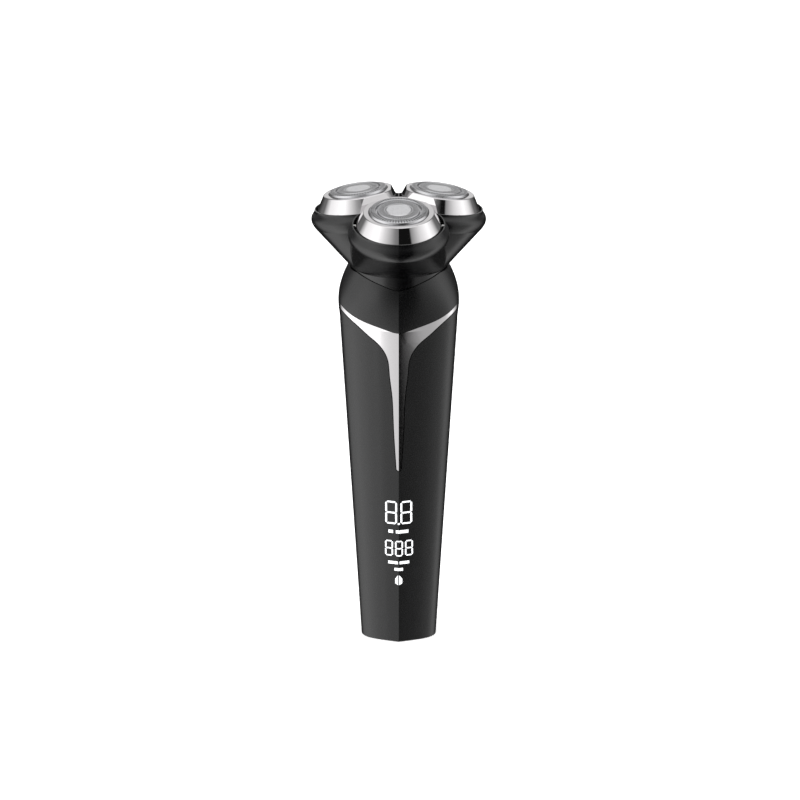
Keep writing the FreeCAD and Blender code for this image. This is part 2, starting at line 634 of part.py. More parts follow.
keep(tube("neck_tube", "sizes.neck_radius", "sizes.neck_radius - sizes.neck_wall",
          "sizes.neck_top - sizes.neck_foot - 1.5", Vector(0, 0, size("neck_foot") + 1.3)), "neck_ring")
snap = Part.makeCylinder(16.5, 1.3, Vector(0, 0, size("neck_foot"))).cut(
    Part.makeCylinder(14.7, 1.3, Vector(0, 0, size("neck_foot"))))
for turn in range(3):
    snap = snap.cut(Part.makeBox(6, 1.2, 5, Vector(12.5, -0.6, 127)).rotated(Vector(), UP, 60 + 120 * turn))
freeform("snap_ring", snap)

# covers, with two lugs on the tilt axis and a ledge over the guard's flange
WALL = 0.8
LEDGE = -1.1
tall = size("cover_height")
cover = cover_form(0.0, -tall, 0.0)
cover = cover.makeFillet(0.45, [edge for edge in cover.Edges if edge.BoundBox.ZMin > -0.01])
cover = cover.cut(cover_form(WALL, -tall - 0.01, LEDGE)).cut(
    Part.makeCylinder(size("cover_bore"), 3, Vector(0, 0, -2)))
for side in (-1, 1):
    near, far = sorted((side * 12.4, side * 14.1))
    lug = Part.makeBox(2.6, far - near, 2.2, Vector(-1.3, near, AXIS_DROP - 1.1))
    lug = lug.cut(Part.makeCylinder(0.56, 6, Vector(0, side * 14.6, AXIS_DROP), Vector(0, -side, 0)))
    cover = cover.fuse(lug.cut(Part.makeCylinder(size("cover_cavity") + 0.6, 9, Vector(0, 0, -9))))
tilt_pin = Part.makeCylinder(0.5, 2.8, Vector(0, 12.9, AXIS_DROP), Vector(0, 1, 0))
pin_pair = [tilt_pin, tilt_pin.mirror(Vector(), Vector(0, 1, 0))]
cover = cover.cut(Part.makeCylinder(0.56, 40, Vector(0, -20, AXIS_DROP), Vector(0, 1, 0)))

# guard: two raised rings with fine slots, a flange behind, open below
STAND = size("guard_stand")
SKIN = size("guard_skin")
guard_top = [(4.35, STAND - 0.35), (4.5, STAND - 0.05), (4.8, STAND), (7.1, STAND), (7.25, STAND - 0.15),
             (7.3, STAND - 0.55), (7.75, STAND - 0.55), (7.8, STAND - 0.15), (8.0, STAND), (9.1, STAND),
             (9.75, STAND - 0.22), (10.1, STAND - 0.85), (10.1, -1.3), (10.6, -1.3), (10.6, -1.8)]
UNDER = STAND - SKIN - 0.05
guard_under = [(9.7, -1.8), (9.7, STAND - 0.85), (9.4, UNDER - 0.05), (7.9, UNDER), (7.85, STAND - 0.9),
               (7.2, STAND - 0.9), (7.15, UNDER), (4.75, UNDER), (4.35, STAND - 0.75)]
guard = turned([(0, STAND - 0.35)] + guard_top + guard_under + [(0, STAND - 0.75)])
slot_tools = []
SLOTS = 60
for number in range(SLOTS):
    turn = 360.0 * number / SLOTS
    for inner, outer, wide in ((4.9, 6.9, 0.26), (8.15, 9.5, 0.4)):
        bar = Part.makeBox(outer - inner, wide, 2.0, Vector(inner, -wide / 2, STAND - 1.2))
        slot_tools.append(bar.rotated(Vector(), UP, turn))
guard = guard.cut(Part.makeCompound(slot_tools))
guard_cap = turned([(0, STAND - 0.35), (4.3, STAND - 0.35), (4.3, STAND - 0.1), (4.05, STAND), (0, STAND)])

# cutter: a ring of blades on a hub that takes the spindle's six-sided tip
blade_top = STAND - 0.9 - 0.08
web_low = -1.6
cutter = Part.makeCylinder(9.2, 0.7, Vector(0, 0, web_low))
cutter = cutter.cut(Part.makeCylinder(5.0, 2, Vector(0, 0, web_low - 1)))
cutter = cutter.fuse(Part.makeCylinder(2.7, 4.8, Vector(0, 0, -6.2)))
for number in range(3):
    arm = Part.makeBox(5.0, 1.8, 0.7, Vector(1.2, -0.9, web_low))
    cutter = cutter.fuse(arm.rotated(Vector(), UP, 120 * number))
for number in range(int(size("blade_count"))):
    turn = 360.0 * number / size("blade_count")
    blade = Part.makeBox(1.5, 0.45, blade_top - web_low, Vector(7.65, -0.22, web_low))
    inner_blade = Part.makeBox(1.9, 0.45, blade_top - web_low, Vector(5.1, -0.22, web_low))
    cutter = cutter.fuse(blade.rotated(Vector(), UP, turn)).fuse(inner_blade.rotated(Vector(), UP, turn))
cutter = cutter.cut(hexagon(3.1, -7.0, 3.4)).removeSplitter()
retainer = cover_form(WALL, -3.9, -3.2).cut(
    Part.makeCylinder(9.7, 0.7, Vector(0, 0, -3.9)))

for name, angle in zip(LOBES, LOBE_ANGLES):
    freeform(f"chrome_cover_{name}", on_lobe(cover, angle))
    freeform(f"guard_{name}", on_lobe(guard, angle))
    freeform(f"guard_cap_{name}", on_lobe(guard_cap, angle))
    freeform(f"cutter_{name}", on_lobe(cutter, angle))
    freeform(f"retainer_{name}", on_lobe(retainer, angle))
freeform("tilt_pins", Part.makeCompound([on_lobe(pin, angle) for angle in LOBE_ANGLES for pin in pin_pair]))

# ---------------------------------------------------------------- gear train in the head
PRESSURE = math.radians(20)
BACKLASH = 0.12


def involute(base, radius):
    """The angle an involute of a base circle has turned by when it reaches a radius."""
    reach = math.acos(min(1.0, base / radius))
    return math.tan(reach) - reach


def spur_gear(teeth, first_tooth, low, thick):
    """A spur gear with involute flanks; first_tooth is the bearing of one tooth's middle."""
    module = size("gear_module")
    pitch_radius = module * teeth / 2.0
    base = pitch_radius * math.cos(PRESSURE)
    tip = pitch_radius + module - 0.03
    root = pitch_radius - 1.25 * module
    half_tooth = math.pi / (2 * teeth) - BACKLASH / (2 * pitch_radius)
    start = max(base, root + 0.05)
    radii = [start + (tip - start) * step / 4.0 for step in range(5)]
    flank = [(r, half_tooth + involute(base, pitch_radius) - involute(base, r)) for r in radii]
    outline = []
    for number in range(teeth):
        middle = math.radians(first_tooth) + 2 * math.pi * number / teeth
        rise = [(root, -flank[0][1])] + [(r, -turn) for r, turn in flank]
        fall = [(r, turn) for r, turn in reversed(flank)] + [(root, flank[0][1])]
        outline += [Vector(r * math.cos(middle + turn), r * math.sin(middle + turn), low)
                    for r, turn in rise + fall]
    return Part.Face(Part.makePolygon(outline + outline[:1])).extrude(Vector(0, 0, thick))


GEAR_LOW = size("gear_level")
PLATE = (145.2, 146.6)
COVER = (150.3, 151.5)
RUN = size("running_gap")
HUB = 4.4
spindle_r = size("spindle_radius")


def slab(low, high):
    """A plate that fills the head's hollow between two levels."""
    parts = [lobe_shell(angle, 1.45, -10.15, FLOOR - 1.25) for angle in LOBE_ANGLES]
    block = Part.makeBox(120, 120, high - low, Vector(-60, -60, low))
    parts = [part.common(block) for part in parts]
    return parts[0].multiFuse(parts[1:])


POST_RING = 11.0
post_spots = [Vector(POST_RING * math.cos(math.radians(a)), POST_RING * math.sin(math.radians(a)), 0)
              for a in (90.0, -30.0, -150.0)]
gear_plate = slab(*PLATE)
gearbox_cover = slab(*COVER)
for spot in post_spots:
    post = Part.makeCylinder(2.2, COVER[0] - PLATE[1], spot + Vector(0, 0, PLATE[1]))
    gearbox_cover = gearbox_cover.fuse(post)
for spot in post_spots:
    gearbox_cover = gearbox_cover.cut(Part.makeCylinder(0.8, 10, spot + Vector(0, 0, PLATE[1] - 1)))
for spot in gear_spots:
    gear_plate = gear_plate.cut(Part.makeCylinder(spindle_r + RUN, 10, spot + Vector(0, 0, 140)))
    gearbox_cover = gearbox_cover.cut(Part.makeCylinder(spindle_r + RUN, 10, spot + Vector(0, 0, 145)))
freeform("gear_plate", gear_plate.cut(Part.makeCylinder(HUB + RUN, 10, Vector(0, 0, 140))))
freeform("gearbox_cover", gearbox_cover)
cover_screws = [screw(spot, COVER[1], 4.6, 0.8, 1.5, 0.9) for spot in post_spots]
freeform("gearbox_screws", Part.makeCompound(cover_screws))

sun_teeth = int(size("sun_teeth"))
planet_teeth = int(size("planet_teeth"))
gear_thick = size("gear_thick")
sun = spur_gear(sun_teeth, LOBE_ANGLES[0], GEAR_LOW, gear_thick)
sun = sun.fuse(Part.makeCylinder(HUB, GEAR_LOW - 130.2, Vector(0, 0, 130.2)))
sun = sun.fuse(Part.makeCylinder(5.4, GEAR_LOW - PLATE[1] - 0.1, Vector(0, 0, PLATE[1] + 0.1)))
freeform("sun_gear", sun.cut(hexagon(5.0, 130.0, 4.8)).removeSplitter())

spring_wire = 0.2
TIP_FOOT = 154.0  # the six-sided tip starts here, clear of a pressed and tilted cutter
SPRING_PITCH = 0.65
half_turn = Part.makeHelix(SPRING_PITCH, SPRING_PITCH / 2, 1.95)
coil_parts = []
for number in range(4):
    rise = Placement(Vector(0, 0, SPRING_PITCH / 2 * number), Rotation(UP, 180.0 * number))
    coil_parts += half_turn.transformGeometry(rise.toMatrix()).Edges
coil = Part.Wire(coil_parts)
for name, angle, spot in zip(LOBES, LOBE_ANGLES, gear_spots):
    planet = spur_gear(planet_teeth, angle + 180.0 + 180.0 / planet_teeth, GEAR_LOW, gear_thick)
    planet = planet.fuse(Part.makeCylinder(3.2, GEAR_LOW - PLATE[1] - 0.1, Vector(0, 0, PLATE[1] + 0.1)))
    for number in range(5):
        window = Part.makeCylinder(1.5, 10, Vector(5.7, 0, 140))
        planet = planet.cut(window.rotated(Vector(), UP, 72 * number))
    planet = planet.cut(Part.makeCylinder(spindle_r, 20, Vector(0, 0, 140)))
    freeform(f"drive_gear_{name}", planet.translated(spot))
    spindle = Part.makeCylinder(spindle_r, TIP_FOOT - 145.3, Vector(0, 0, 145.3))
    spindle = spindle.fuse(Part.makeCylinder(2.2, 0.6, Vector(0, 0, 153.3)))
    tip = hexagon(2.0, TIP_FOOT, 156.9 - TIP_FOOT).rotated(Vector(), UP, angle)
    freeform(f"spindle_{name}", spindle.fuse(tip).removeSplitter().translated(spot))
    wire_end = Part.Wire([Part.makeCircle(spring_wire, Vector(1.95, 0, 0), Vector(0, 1, 0))])
    spring = coil.makePipeShell([wire_end], True, True)
    freeform(f"spindle_spring_{name}", spring.translated(spot + Vector(0, 0, COVER[1] + 0.28)))

strap = Part.makeBox(1.0, 6.0, 0.25, Vector(-7.2, -3.0, FLOOR + 0.02))
freeform("tilt_springs", Part.makeCompound([on_lobe(strap, angle) for angle in LOBE_ANGLES]))

# ---------------------------------------------------------------- checks and export
doc.recompute()
for thing in doc.Objects:
    wrong = [state for state in thing.State if state in ("Invalid", "Error")]
    if wrong:
        raise RuntimeError(f"{thing.Label} did not recompute: {wrong}")
for piece in pieces:
    shape = piece.Shape
    if shape.isNull() or not shape.isValid() or not shape.Solids:
        raise RuntimeError(f"{piece.Label} has no sound solid")
    print(f"{piece.Label:24s} solids {len(shape.Solids):3d}  volume {shape.Volume:10.1f}")
    shape.exportStep(os.path.join("parts", piece.Label + ".step"))
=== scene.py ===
"""Looks and stage for a three-head rotary electric shaver, laid out as an add-on and run as a script."""
import math

import bmesh
import bpy
from bpy.props import FloatProperty, FloatVectorProperty, PointerProperty
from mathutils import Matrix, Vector

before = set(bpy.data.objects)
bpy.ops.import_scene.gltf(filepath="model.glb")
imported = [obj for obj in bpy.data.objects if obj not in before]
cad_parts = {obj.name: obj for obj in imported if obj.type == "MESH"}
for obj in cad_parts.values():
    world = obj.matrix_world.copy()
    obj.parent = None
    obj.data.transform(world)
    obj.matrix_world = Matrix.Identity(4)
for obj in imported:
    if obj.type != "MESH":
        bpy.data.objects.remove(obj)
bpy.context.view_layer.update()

bl_info = {
    "name": "Rotary Shaver",
    "version": (1, 0, 0),
    "blender": (4, 5, 0),
    "location": "3D View > Sidebar > Shaver",
    "description": "Finishes the parts of a three-head shaver and sets it on a studio stage",
    "category": "Object",
}

MM = 0.001
LOBES = ("front", "right", "left")


def linear(code):
    """An sRGB hex code as linear red, green and blue."""
    channels = [int(code[i:i + 2], 16) / 255.0 for i in (1, 3, 5)]
    return tuple(c / 12.92 if c <= 0.04045 else ((c + 0.055) / 1.055) ** 2.4 for c in channels)


def rgba(colour):
    return (colour[0], colour[1], colour[2], 1.0)


def per_mm(size):
    """A texture scale whose features are this many millimetres across."""
    return 1.0 / (size * MM)


# ---------------------------------------------------------------- materials
# a mix node repeats its socket names, so its colours and its result go by place
MIX_LOW = 6
MIX_HIGH = 7
MIX_RESULT = 2
USUAL_RANGE = (0.3, 0.7)  # the values that a noise texture mostly stays between


def node(tree, kind, inputs=None, **settings):
    """Adds one node. An input given as a socket is linked, and anything else is its value."""
    made = tree.nodes.new(kind)
    for name, value in settings.items():
        setattr(made, name, value)
    for name, value in (inputs or {}).items():
        socket = made.inputs[name]
        if isinstance(value, bpy.types.NodeSocket):
            tree.links.new(value, socket)
        else:
            socket.default_value = value
    return made


def blank(name):
    """A new node material, its tree emptied, and its object-space coordinates."""
    material = bpy.data.materials.new(name)
    material.use_nodes = True
    tree = material.node_tree
    tree.nodes.clear()
    where = node(tree, "ShaderNodeTexCoord")
    return material, tree, where.outputs["Object"]


def finish_surface(material, tree, tone, relief, gloss=None, gloss_range=USUAL_RANGE, **inputs):
    """Closes a material whose colour, roughness and relief each follow a texture.

    tone is a texture, the colour where it is low and the colour where it is high. relief is a texture,
    its depth in millimetres and its strength. gloss is a texture, and the roughness at each end of
    gloss_range. Keywords are more inputs of the surface shader, with spaces as underscores."""
    texture, low, high = tone
    shade = node(tree, "ShaderNodeMix", {0: texture, MIX_LOW: rgba(low), MIX_HIGH: rgba(high)},
                 data_type="RGBA").outputs[MIX_RESULT]
    named = {"Base Color": shade, **{key.replace("_", " "): value for key, value in inputs.items()}}
    if gloss:
        texture, smoothest, roughest = gloss
        named["Roughness"] = node(tree, "ShaderNodeMapRange", {
            "Value": texture, "From Min": gloss_range[0], "From Max": gloss_range[1],
            "To Min": smoothest, "To Max": roughest}).outputs["Result"]
    texture, depth, strength = relief
    named["Normal"] = node(tree, "ShaderNodeBump", {"Height": texture, "Strength": strength,
                                                    "Distance": depth * MM}).outputs["Normal"]
    shader = node(tree, "ShaderNodeBsdfPrincipled", named)
    node(tree, "ShaderNodeOutputMaterial", {"Surface": shader.outputs["BSDF"]})
    return material


def shaded(colour, share):
    """A colour made darker or lighter."""
    return [channel * share for channel in colour]


def satin_abs(colour):
    """Black ABS from a spark-textured mould: an even, soft sheen that greys where light rakes it."""
    material, tree, where = blank("spark_textured_black_abs")
    # the real grain is about 0.1 mm, and it is drawn coarser so that it shows
    grain = node(tree, "ShaderNodeTexNoise", {"Vector": where, "Scale": per_mm(0.35), "Detail": 2.0,
                                              "Roughness": 0.55}).outputs["Fac"]
    cloud = node(tree, "ShaderNodeTexNoise", {"Vector": where, "Scale": per_mm(14.0), "Detail": 2.0,
                                              "Roughness": 0.55}).outputs["Fac"]
    return finish_surface(material, tree, (cloud, shaded(colour, 0.88), shaded(colour, 1.12)),
                          (grain, 0.003, 0.15), (grain, 0.26, 0.33), IOR=1.54)


def polished_abs(colour):
    """Black ABS from a polished mould: deep black with clear, very slightly wavy highlights."""
    material, tree, where = blank("polished_black_abs")
    wave = node(tree, "ShaderNodeTexNoise", {"Vector": where, "Scale": per_mm(9.0), "Detail": 1.0,
                                             "Roughness": 0.55}).outputs["Fac"]
    haze = node(tree, "ShaderNodeTexNoise", {"Vector": where, "Scale": per_mm(1.2), "Detail": 3.0,
                                             "Roughness": 0.55}).outputs["Fac"]
    return finish_surface(material, tree, (haze, shaded(colour, 0.9), shaded(colour, 1.1)),
                          (wave, 0.02, 0.25), (haze, 0.2, 0.27), IOR=1.54)


def plated_chrome(colour):
    """Bright decorative chrome over ABS: mirror-like, with the faintest ripple of a moulded part."""
    material, tree, where = blank("bright_plated_chrome")
    ripple = node(tree, "ShaderNodeTexNoise", {"Vector": where, "Scale": per_mm(7.0), "Detail": 1.0,
                                               "Roughness": 0.55}).outputs["Fac"]
    haze = node(tree, "ShaderNodeTexNoise", {"Vector": where, "Scale": per_mm(0.6), "Detail": 3.0,
                                             "Roughness": 0.55}).outputs["Fac"]
    return finish_surface(material, tree, (haze, shaded(colour, 0.96), colour), (ripple, 0.005, 0.15),
                          (haze, 0.04, 0.07), Metallic=1.0)


def lapped_steel(colour):
    """Stainless foil, etched and lapped: bright grey with short scratches that blur the highlights."""
    material, tree, where = blank("lapped_stainless_steel")
    scratch = node(tree, "ShaderNodeTexNoise", {"Vector": where, "Scale": per_mm(0.18), "Detail": 4.0,
                                                "Roughness": 0.7}).outputs["Fac"]
    cloud = node(tree, "ShaderNodeTexNoise", {"Vector": where, "Scale": per_mm(2.5), "Detail": 2.0,
                                              "Roughness": 0.55}).outputs["Fac"]
    return finish_surface(material, tree, (cloud, shaded(colour, 0.82), colour), (scratch, 0.01, 0.5),
                          (scratch, 0.2, 0.36), Metallic=1.0)


def frosted_cap(colour):
    """A bead-blasted and plated cap: white silver that glitters in small facets."""
    material, tree, where = blank("bead_blasted_plated_cap")
    beads = node(tree, "ShaderNodeTexVoronoi", {"Vector": where, "Scale": per_mm(0.5)}).outputs["Distance"]
    return finish_surface(material, tree, (beads, colour, shaded(colour, 0.75)), (beads, 0.05, 0.8),
                          Metallic=1.0, Roughness=0.3)


def ground_steel(name, colour, rough):
    """Ground or zinc-plated steel: fine grinding lines and a slightly uneven grey."""
    material, tree, where = blank(name)
    lines = node(tree, "ShaderNodeTexWave", {"Vector": where, "Scale": per_mm(0.4), "Distortion": 2.0,
                                             "Detail": 3.0}, bands_direction="Z").outputs["Fac"]
    cloud = node(tree, "ShaderNodeTexNoise", {"Vector": where, "Scale": per_mm(3.0), "Detail": 3.0,
                                              "Roughness": 0.55}).outputs["Fac"]
    return finish_surface(material, tree, (cloud, shaded(colour, 0.85), colour), (lines, 0.004, 0.3),
                          (lines, rough, rough + 0.12), gloss_range=(0.0, 1.0), Metallic=1.0)


def moulded_plastic(name, colour, rough):
    """A plain injection-moulded part: even colour, faint flow marks, a soft low gloss."""
    material, tree, where = blank(name)
    flow = node(tree, "ShaderNodeTexNoise", {"Vector": where, "Scale": per_mm(5.0), "Distortion": 1.5,
                                             "Detail": 2.0}).outputs["Fac"]
    return finish_surface(material, tree, (flow, shaded(colour, 0.93), colour), (flow, 0.01, 0.2),
                          (flow, rough, rough + 0.08), IOR=1.49)


def solder_mask(colour):
    """Green solder mask over etched copper: darker bare laminate between slightly raised tracks."""
    material, tree, where = blank("green_solder_mask")
    tracks = node(tree, "ShaderNodeTexBrick", {
        "Vector": where, "Scale": per_mm(3.0), "Mortar Size": 0.08, "Color1": rgba(colour),
        "Color2": rgba(shaded(colour, 1.2)), "Mortar": rgba(shaded(colour, 0.6))}).outputs
    raised = node(tree, "ShaderNodeBump", {"Height": tracks["Fac"], "Strength": 0.5, "Distance": 0.03 * MM})
    shader = node(tree, "ShaderNodeBsdfPrincipled", {"Base Color": tracks["Color"], "Roughness": 0.35,
                                                     "Normal": raised.outputs["Normal"]})
    node(tree, "ShaderNodeOutputMaterial", {"Surface": shader.outputs["BSDF"]})
    return material


def lit_diffuser(colour, strength):
    """Clear light guides lit white from behind: an even white with soft, slightly dimmer ends."""
    material, tree, where = blank("lit_clear_light_guide")
    cloud = node(tree, "ShaderNodeTexNoise", {"Vector": where, "Scale": per_mm(2.0), "Detail": 1.0,
                                              "Roughness": 0.55}).outputs["Fac"]
    shade = node(tree, "ShaderNodeMix", {0: cloud, MIX_LOW: rgba(shaded(colour, 0.92)),
                                         MIX_HIGH: rgba(colour)}, data_type="RGBA").outputs[MIX_RESULT]
    shader = node(tree, "ShaderNodeBsdfPrincipled", {"Base Color": shade, "Roughness": 0.3,
                                                     "Emission Color": shade, "Emission Strength": strength})
    node(tree, "ShaderNodeOutputMaterial", {"Surface": shader.outputs["BSDF"]})
    return material


def paper_sweep():
    """Matt white paper: faint fibres, and a little light of its own, which keeps the ground white."""
    material, tree, where = blank("matt_white_paper_sweep")
    fibre = node(tree, "ShaderNodeTexNoise", {"Vector": where, "Scale": per_mm(1.5), "Detail": 3.0,
                                              "Roughness": 0.55}).outputs["Fac"]
    return finish_surface(material, tree, (fibre, linear("#f7f7f7"), linear("#fdfdfd")), (fibre, 0.02, 0.2),
                          Roughness=0.9, Emission_Color=(1, 1, 1, 1), Emission_Strength=0.35)


def paint(material, *names):
    """Puts a material in every slot of the named CAD pieces."""
    for name in names:
        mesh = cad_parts[name].data
        if not mesh.materials:
            mesh.materials.append(material)
        for slot in range(len(mesh.materials)):
            mesh.materials[slot] = material


def each_lobe(stem):
    return [f"{stem}_{side}" for side in LOBES]


# ---------------------------------------------------------------- settings a user would change
class ShaverFinish(bpy.types.PropertyGroup):
    shell: FloatVectorProperty(name="Shell", description="Colour of the handle's mouldings", subtype="COLOR",
                               size=3, min=0.0, max=1.0, default=linear("#070708"))
    head: FloatVectorProperty(name="Head", description="Colour of the polished head and neck",
                              subtype="COLOR", size=3, min=0.0, max=1.0, default=linear("#060607"))
    chrome: FloatVectorProperty(name="Chrome", description="Tint of the plated covers and inlay",
                                subtype="COLOR", size=3, min=0.0, max=1.0, default=linear("#dcdadb"))
    steel: FloatVectorProperty(name="Steel", description="Tint of the guards", subtype="COLOR", size=3,
                               min=0.0, max=1.0, default=linear("#cfcfd1"))
    glow: FloatProperty(name="Display glow", description="How brightly the display shines", default=0.6,
                        min=0.0, max=20.0)


class ShaverStage(bpy.types.PropertyGroup):
    distance: FloatProperty(name="Camera distance", description="From the aimed point to the camera",
                            default=1.2, min=0.3, max=5.0, unit="LENGTH")
    elevation: FloatProperty(name="Camera elevation", description="How far the camera looks down",
                             default=math.radians(21.3), min=0.0, max=1.5, unit="ROTATION")
    aim: FloatProperty(name="Aim height", description="Height of the point the camera looks at",
                       default=0.080, min=0.0, max=0.2, unit="LENGTH")
    lens: FloatProperty(name="Lens", description="Focal length on a 36 mm sensor", default=154.4, min=20.0,
                        max=400.0, unit="CAMERA")
    key: FloatProperty(name="Key light", description="Power of the large soft light", default=18.0, min=0.0,
                       max=500.0, unit="POWER")


# ---------------------------------------------------------------- pieces
class SHAVER_OT_shells(bpy.types.Operator):
    """Finish the handle's covers, shoulder ring and base cap"""
    bl_idname = "shaver.shells"
    bl_label = "Handle shells"

    def execute(self, context):
        finish = context.scene.shaver_finish
        paint(satin_abs(list(finish.shell)), "front_cover", "rear_cover", "shoulder_ring", "base_cap")
        return {"FINISHED"}


class SHAVER_OT_inlay(bpy.types.Operator):
    """Finish the chromed inlay down the ridge"""
    bl_idname = "shaver.inlay"
    bl_label = "Chrome inlay"

    def execute(self, context):
        paint(plated_chrome(list(context.scene.shaver_finish.chrome)), "chrome_inlay")
        return {"FINISHED"}


class SHAVER_OT_display(bpy.types.Operator):
    """Light the display's segments and finish the light box behind them"""
    bl_idname = "shaver.display"
    bl_label = "Display"

    def execute(self, context):
        finish = context.scene.shaver_finish
        paint(lit_diffuser(linear("#f4f6f8"), finish.glow), "display_segments")
        paint(moulded_plastic("white_polycarbonate_light_box", linear("#e6e6e2"), 0.4), "display_module")
        return {"FINISHED"}


class SHAVER_OT_head_body(bpy.types.Operator):
    """Finish the black body of the head, its bowl and its neck"""
    bl_idname = "shaver.head_body"
    bl_label = "Head body"

    def execute(self, context):
        finish = context.scene.shaver_finish
        paint(polished_abs(list(finish.head)), "head_frame", "head_bowl", "neck_ring")
        paint(moulded_plastic("natural_acetal_snap_ring", linear("#d8d6cc"), 0.35), "snap_ring")
        return {"FINISHED"}


class SHAVER_OT_covers(bpy.types.Operator):
    """Finish the three tilting covers"""
    bl_idname = "shaver.covers"
    bl_label = "Tilting covers"

    def execute(self, context):
        paint(plated_chrome(list(context.scene.shaver_finish.chrome)), *each_lobe("chrome_cover"))
        paint(moulded_plastic("black_nylon_retainer", linear("#2b2b2d"), 0.45), *each_lobe("retainer"))
        return {"FINISHED"}


class SHAVER_OT_guards(bpy.types.Operator):
    """Finish the slotted guards and their bright caps"""
    bl_idname = "shaver.guards"
    bl_label = "Guards"

    def execute(self, context):
        finish = context.scene.shaver_finish
        paint(lapped_steel(list(finish.steel)), *each_lobe("guard"))
        paint(frosted_cap(linear("#f2f2f4")), *each_lobe("guard_cap"))
        return {"FINISHED"}


class SHAVER_OT_cutters(bpy.types.Operator):
    """Finish the cutters under the guards"""
    bl_idname = "shaver.cutters"
    bl_label = "Cutters"

    def execute(self, context):
        paint(ground_steel("ground_stainless_cutter", linear("#b7b8ba"), 0.25), *each_lobe("cutter"))
        return {"FINISHED"}


class SHAVER_OT_gear_train(bpy.types.Operator):
    """Finish the gears, spindles, springs and plates inside the head"""
    bl_idname = "shaver.gear_train"
    bl_label = "Gear train"

    def execute(self, context):
        acetal = moulded_plastic("natural_acetal_gear", linear("#e7e4d8"), 0.35)
        paint(acetal, "sun_gear", *each_lobe("drive_gear"), *each_lobe("spindle"))
        paint(moulded_plastic("grey_acetal_plate", linear("#cfcdc6"), 0.4), "gear_plate", "gearbox_cover")
        steel = ground_steel("bright_spring_steel", linear("#c2c2c0"), 0.22)
        paint(steel, "tilt_springs", "tilt_pins", *each_lobe("spindle_spring"))
        paint(ground_steel("zinc_plated_screw", linear("#b6b7ba"), 0.28), "gearbox_screws",
              "shoulder_screws", "motor_screws")
        return {"FINISHED"}


class SHAVER_OT_motor(bpy.types.Operator):
    """Finish the motor, its mount, coupling and shaft seal"""
    bl_idname = "shaver.motor"
    bl_label = "Motor"

    def execute(self, context):
        paint(ground_steel("zinc_plated_motor_can", linear("#a8a8aa"), 0.3), "motor_case")
        paint(ground_steel("stacked_lamination_steel", linear("#9a9a9c"), 0.35), "motor_rotor")
        paint(moulded_plastic("sintered_ferrite_magnet", linear("#4a4a4d"), 0.6), "motor_magnets")
        paint(moulded_plastic("white_nylon_end_cap", linear("#e8e6df"), 0.45), "motor_end_cap")
        paint(moulded_plastic("grey_nylon_mount", linear("#323335"), 0.5), "motor_mount")
        paint(moulded_plastic("natural_acetal_coupling", linear("#dedcd2"), 0.35), "drive_coupling")
        paint(moulded_plastic("black_nitrile_seal", linear("#232323"), 0.7), "shaft_seal", "socket_seal")
        return {"FINISHED"}


class SHAVER_OT_power(bpy.types.Operator):
    """Finish the cell, its tabs, the boards, the chassis and the charging socket"""
    bl_idname = "shaver.power"
    bl_label = "Power pack"

    def execute(self, context):
        paint(moulded_plastic("blue_shrink_sleeve", linear("#2f6fa8"), 0.25), "battery_cell")
        paint(ground_steel("nickel_strip", linear("#b9b9b4"), 0.25), "battery_tabs")
        paint(solder_mask(linear("#1f5a35")), "main_board", "auxiliary_boards")
        paint(moulded_plastic("black_epoxy_package", linear("#1b1b1b"), 0.5), "board_components")
        paint(moulded_plastic("grey_abs_chassis", linear("#3a3b3d"), 0.5), "chassis")
        paint(ground_steel("drawn_steel_socket", linear("#b5b5b7"), 0.2), "charging_socket", "push_switch")
        return {"FINISHED"}


class SHAVER_OT_controls(bpy.types.Operator):
    """Finish the power button on the back"""
    bl_idname = "shaver.controls"
    bl_label = "Power button"

    def execute(self, context):
        paint(polished_abs(linear("#1c1c1e")), "power_button")
        return {"FINISHED"}


# ---------------------------------------------------------------- stage
def soft_light(name, power, width, height, place, target):
    """A rectangular soft light aimed at a point, and left out of mirrors."""
    lamp = bpy.data.lights.new(name, "AREA")
    lamp.shape = "RECTANGLE"
    lamp.size = width
    lamp.size_y = height
    lamp.energy = power
    holder = bpy.data.objects.new(name, lamp)
    bpy.context.collection.objects.link(holder)
    holder.visible_glossy = False  # mirrors show the studio's rings, which have soft edges
    holder.location = place
    holder.rotation_euler = (Vector(target) - Vector(place)).to_track_quat("-Z", "Y").to_euler()


# brightness of the studio by bearing in degrees, 0 towards the camera and + to its right. The upper
# ring is what the sloping covers and guards mirror, and the lower ring is what the handle mirrors.
UPPER_RING = ((-180, 0.8), (-165, 0.6), (-146, 0.15), (-122, 0.2), (-102, 1.2), (-60, 1.6), (-40, 1.0),
              (-12, 0.35), (-2, 0.2), (1, 0.008), (31, 0.008), (35, 0.35), (60, 0.95), (90, 1.5),
              (106, 1.1), (126, 0.2), (146, 0.15), (165, 0.6), (180, 0.8))
LOWER_RING = ((-180, 0.0), (-135, 0.05), (-112, 1.0), (-70, 2.0), (-37, 1.6), (-32, 0.6), (0, 0.02),
              (8, 0.0), (34.5, 0.0), (37, 0.5), (72, 0.75), (95, 1.5), (112, 0.8), (135, 0.05), (180, 0.0))
# the rise of a direction above the horizon, as the sine of its angle, over which one gives way to the next
RINGS_MEET = (-0.12, 0.04)
TOP_STARTS = (0.72, 0.95)
TOP_LIGHT = (1.2, 1.2, 1.2)
# lamps, as a name, a share of the key light's power, the width and height, the place and the aimed
# height, all in metres
LAMPS = (("key_left", 1.0, 0.9, 1.3, (-1.5, -0.9, 1.3), 0.08),
         ("fill_right", 0.5, 0.8, 1.2, (1.7, -0.4, 1.1), 0.08),
         ("top", 0.8, 1.2, 1.2, (0, 0.3, 1.9), 0.1))
FLOOR_HALF = 6.0
FLOOR_DROP = 0.2 * MM  # keeps the base from lying in the same plane as the paper
SENSOR = 36.0  # width in mm
